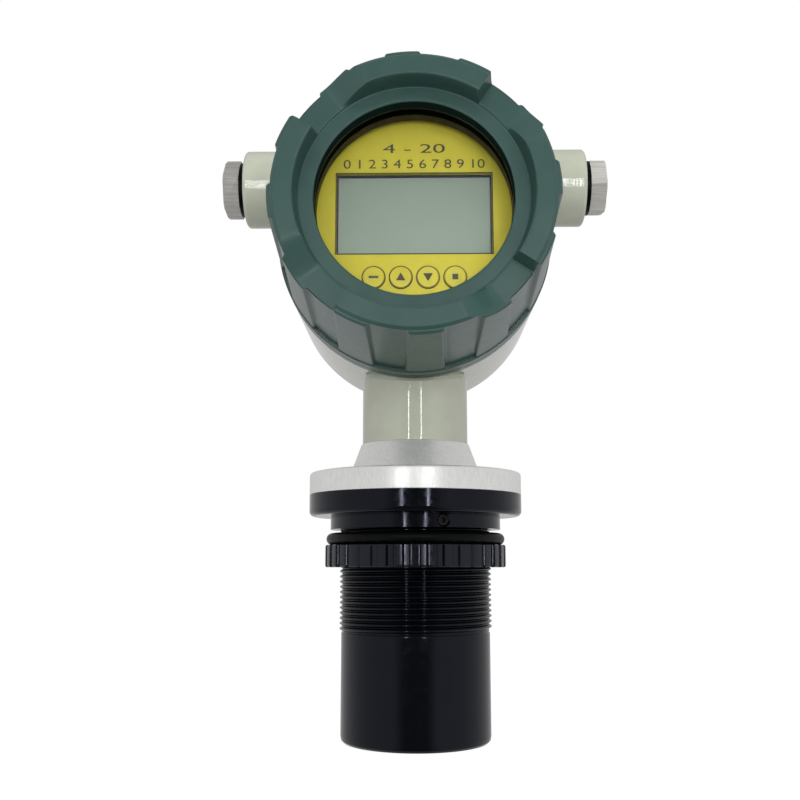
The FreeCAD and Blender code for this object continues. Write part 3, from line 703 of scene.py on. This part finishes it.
printLine("upperPrint", *printed["upper"])
printLine("lowerPrint", *printed["lower"])
keyMark("up_key", [(-1, -0.75), (1, -0.75), (0, 0.95)])
keyMark("down_key", [(-1, 0.75), (0, -0.95), (1, 0.75)])
keyMark("set_key", [(-1, -0.25), (1, -0.25), (1, 0.25), (-1, 0.25)])
keyMark("ok_key", [(-0.6, -0.6), (0.6, -0.6), (0.6, 0.6), (-0.6, 0.6)])
for key in ("set_key", "up_key", "down_key", "ok_key"):
    keyRing(key)
shadeLine("displayShadeLine")

left, right, below, above = printed["sheetEdge"]
lcdSheet = flatShape("lcdSheet", [
    (lcdLow.x + left, lcdLow.z + below), (lcdHigh.x - right, lcdLow.z + below),
    (lcdHigh.x - right, lcdHigh.z - above), (lcdLow.x + left, lcdHigh.z - above),
], lcdLow.y - printed["sheet"], printed["sheet"])
fit(lcdSheet, "housing", "lcd_glass", lcdGlass)
print("dial done")


# adapter flange and nut

adapterLow, adapterHigh = boxOf("adapter_flange")
collarLow, collarHigh = boxOf("probe_collar")
nutLow, nutHigh = boxOf("lock_nut")

alloy = {
    "bore": 9.0,
    "lowerSpigot": 25.0,
    "flange": 8.65,
    "flangeRound": 1.2,
    "edge": 0.3,
    "coneBend": 0.5,
    "coneFoot": 26.0,
    "coneTop": 21.7,
    "coneHeight": 11.7,
    "upperSpigot": 15.0,
}
flangeTop = collarHigh.z + alloy["flange"]
coneTop = flangeTop + alloy["coneHeight"]
adapter = turned("turnedAdapter", [
    (alloy["bore"], adapterLow.z), (alloy["lowerSpigot"], adapterLow.z), (alloy["lowerSpigot"], collarHigh.z),
    (adapterHigh.x, collarHigh.z, alloy["edge"]), (adapterHigh.x, flangeTop, alloy["flangeRound"]),
    (alloy["coneFoot"], flangeTop, alloy["coneBend"]), (alloy["coneTop"], coneTop, alloy["edge"]),
    (alloy["upperSpigot"], coneTop), (alloy["upperSpigot"], adapterHigh.z), (alloy["bore"], adapterHigh.z),
], probeCenter, probeAxis, 256)
fit(adapter, "housing", "adapter_metal", turnedAlloy, "adapter_flange")

nut = {
    "columns": 720,
    "bore": 30.3,
    "edge": 0.8,
    "ribs": 36,
    "grooveFloor": 1.6,        # half widths in degrees
    "grooveTop": 2.6,
    "grooveDepth": 1.0,
    "skin": 2.0,               # only the outer wall is grooved
}


def pressGrooves(obj):
    places = placesOf(obj)
    turn = np.degrees(np.arctan2(places[:, 1], places[:, 0])) % 360
    out = np.hypot(places[:, 1], places[:, 0])
    pitch = 360 / nut["ribs"]
    off = np.abs(turn % pitch - pitch / 2)
    wall = np.clip((nut["grooveTop"] - off) / (nut["grooveTop"] - nut["grooveFloor"]), 0, 1)
    share = np.round(wall * wall * (3 - 2 * wall), 2)
    for level in np.unique(share[share > 0]):
        editPoints(obj, (out > nutHigh.x - nut["skin"]) & (share == level))
        shrink = 1 - nut["grooveDepth"] / nutHigh.x * float(level)
        bpy.ops.transform.resize(value=(shrink, shrink, 1), center_override=probeCenter)
        bpy.ops.object.mode_set(mode="OBJECT")


ribbedNut = turned("ribbedNut", [
    (nut["bore"], nutLow.z), (nutHigh.x, nutLow.z, nut["edge"]), (nutHigh.x, nutHigh.z, nut["edge"]),
    (nut["bore"], nutHigh.z),
], probeCenter, probeAxis, nut["columns"])
pressGrooves(ribbedNut)
settle(ribbedNut, softAngle)
fit(ribbedNut, "lock_nut", "nut_plastic", nutPlastic, "lock_nut")
print("nut:", len(ribbedNut.data.polygons), "faces")


# probe barrel with its fine thread

shellLow, shellHigh = boxOf("probe_shell")

probe = {
    "threadDepth": 0.75,       # from the crest to the barrel, then a little more to the root
    "rootDrop": 0.3,
    "pitch": 2.0,
    "threadStart": 41.3,
    "bore": 25.25,
    "face": 3.0,
    "edge": 2.5,
    "shoulder": 0.3,
    "sink": 0.4,               # how far the ridge reaches into the barrel
    "steps": 128,
    "fade": 16,                # steps over which the thread rises from the barrel
}
crest = shellHigh.x
barrelRadius = crest - probe["threadDepth"]
root = barrelRadius - probe["rootDrop"]

barrel = turned("probeBarrel", [
    (0, 0), (barrelRadius, 0, probe["edge"]), (barrelRadius, probe["threadStart"], probe["shoulder"]),
    (root, probe["threadStart"] + probe["shoulder"]), (root, shellHigh.z),
    (probe["bore"], shellHigh.z), (probe["bore"], probe["face"]), (0, probe["face"]),
], probeCenter, probeAxis, 192, closed=False)
fit(barrel, "housing", "probe_plastic", probePlastic, "probe_shell")


def windThread():
    low = probe["threadStart"]
    sunk = root - probe["sink"]
    across = [(sunk, 0.05), (root, 0.05), (crest - 0.3, 0.6), (crest - 0.06, 0.82), (crest, 1.0),
              (crest - 0.06, 1.18), (crest - 0.3, 1.4), (root, 1.95), (sunk, 1.95)]
    path = [Vector((0, out, low + rise)) * mm for out, rise in across]
    obj = drawPath("threadRidge", path + path[:1])
    bpy.ops.mesh.remove_doubles(threshold=weld)
    bpy.ops.object.mode_set(mode="OBJECT")
    settle(obj, 0)
    turns = int((shellHigh.z - low - 2 * probe["pitch"]) / probe["pitch"])
    applyTo(obj, "SCREW", axis="Z", angle=2 * math.pi, steps=probe["steps"], iterations=turns,
            screw_offset=probe["pitch"] * mm)
    endThread(obj, low, low + turns * probe["pitch"])
    return settle(obj, 40)


def endThread(obj, low, high):
    places = placesOf(obj)
    turn = np.degrees(np.arctan2(-places[:, 0], places[:, 1])) % 360
    below = places[:, 2] - low
    step = 360 / probe["steps"]
    for count in range(probe["fade"]):
        here = (np.abs((turn - count * step + 180) % 360 - 180) < step / 3) & (below < probe["pitch"] * 1.1)
        shrink = 1 - (1 - root / crest) * (1 - count / probe["fade"])
        editPoints(obj, here)
        bpy.ops.transform.resize(value=(shrink, shrink, 1), center_override=probeCenter)
        bpy.ops.object.mode_set(mode="OBJECT")
    atStart = np.abs((turn + 180) % 360 - 180) < step / 3
    for end in (below < probe["pitch"], below > high - low):
        editPoints(obj, atStart & end)
        bpy.ops.mesh.edge_face_add()
        bpy.ops.object.mode_set(mode="OBJECT")
    editPoints(obj, np.ones(len(obj.data.vertices), bool))
    closeMesh()


thread = windThread()
fit(thread, "housing", "probe_plastic", probePlastic)
print("thread:", len(thread.data.polygons), "faces")


# floor, light and camera

stage = {
    "floorSeen": 0.9,          # floor glow to the camera, and for what it lights
    "floorGlow": 0.32,
    "fill": (1.2, 0.6, 0.68, 0.55, 0.6),   # sky ahead, left, right, behind and above
    "sheen": (0.13, 0.58, 0.62, 0.65, 0.42),
    "stripTurn": (-13.4, 13.2),            # degrees to the left and right of straight ahead
    "stripFar": 0.75,
    "stripHeight": 0.19,
    "stripSize": (0.028, 0.32),
    "stripPower": 0.5,
    "top": ((0, -0.6, 0.78), (0, 0, 0.19), 0.7, 0.3, 1.9),         # place, aim, size and power
    "front": ((0.1, -0.9, 0.18), (0, 0, 0.16), 0.4, 0.3, 1.95),
}


def makeFloor():         # white to the camera, dim in what it throws back
    clearSelection()
    bpy.ops.mesh.primitive_plane_add(size=8, location=(0, 0, 0))
    floor = bpy.context.object
    floor.name = "floor"
    finish, tree, shader = newFinish("paleFloor", 0.9)
    shader.inputs["Specular IOR Level"].default_value = 0.0
    shader.inputs["Emission Color"].default_value = (1, 1, 1, 1)
    glow = blend(tree, lightPath(tree, "Is Camera Ray"), stage["floorGlow"], stage["floorSeen"])
    tree.links.new(glow, shader.inputs["Emission Strength"])
    shader.inputs["Base Color"].default_value = (0.25, 0.25, 0.25, 1)
    openTo(finish, "Is Glossy Ray")
    floor.data.materials.append(finish)


def skyLevels(tree, masks, levels):
    value = levels[0]
    for mask, level in zip(masks, levels[1:]):
        value = blend(tree, mask, value, level)
    return value


def makeSky():           # plain white to the camera, with its own levels for sheen and for fill
    sky = bpy.data.worlds.new("studio")
    sky.use_nodes = True
    scene.world = sky
    tree = sky.node_tree
    coords = tree.nodes.new("ShaderNodeTexCoord")
    split = tree.nodes.new("ShaderNodeSeparateXYZ")
    tree.links.new(coords.outputs["Generated"], split.inputs["Vector"])
    across = split.outputs["X"]
    masks = (ease(tree, across, -0.25, -0.6), ease(tree, across, 0.25, 0.6),
             ease(tree, split.outputs["Y"], -0.3, 0.4), ease(tree, split.outputs["Z"], 0.3, 0.8))
    glow = blend(tree, lightPath(tree, "Is Glossy Ray"), skyLevels(tree, masks, stage["fill"]),
                 skyLevels(tree, masks, stage["sheen"]))
    glow = blend(tree, lightPath(tree, "Is Camera Ray"), glow, 1.0)
    back = tree.nodes["Background"]
    back.inputs["Color"].default_value = (1, 1, 1, 1)
    tree.links.new(glow, back.inputs["Strength"])


def addLamp(name, place, aim, width, height, power):
    lamp = bpy.data.lights.new(name, "AREA")
    lamp.shape = "RECTANGLE"
    lamp.size = width
    lamp.size_y = height
    lamp.energy = power
    obj = bpy.data.objects.new(name, lamp)
    scene.collection.objects.link(obj)
    obj.location = place
    obj.rotation_euler = (Vector(aim) - Vector(place)).to_track_quat("-Z", "Y").to_euler()
    obj.visible_camera = False
    return obj


view = {
    "lens": 45.54,             # for a 36 mm square picture
    "distance": 0.408,
    "height": 0.067,
    "around": 0.12,            # degrees to the right of straight ahead
    "pan": 0.86,
    "tilt": 9.3,
}


def addCamera():
    data = bpy.data.cameras.new("camera")
    data.lens = view["lens"]
    data.sensor_width = 36
    obj = bpy.data.objects.new("camera", data)
    scene.collection.objects.link(obj)
    turn = math.radians(view["around"])
    far = view["distance"]
    obj.location = (far * math.sin(turn), -far * math.cos(turn), view["height"])
    obj.rotation_euler = (math.radians(90 + view["tilt"]), 0, math.radians(view["around"] + view["pan"]))
    scene.camera = obj


def addStrip(turn):
    far = stage["stripFar"]
    place = (far * math.sin(math.radians(turn)), -far * math.cos(math.radians(turn)), stage["stripHeight"])
    addLamp("strip", place, (0, 0, stage["stripHeight"]), *stage["stripSize"], stage["stripPower"])


makeFloor()
makeSky()
for lamp in (addLamp("topSoft", *stage["top"]), addLamp("frontSoft", *stage["front"])):
    lamp.visible_glossy = False            # only the strips show in the gloss
for turn in stage["stripTurn"]:
    addStrip(turn)
addCamera()
scene.view_settings.view_transform = "Standard"
print("stage done")
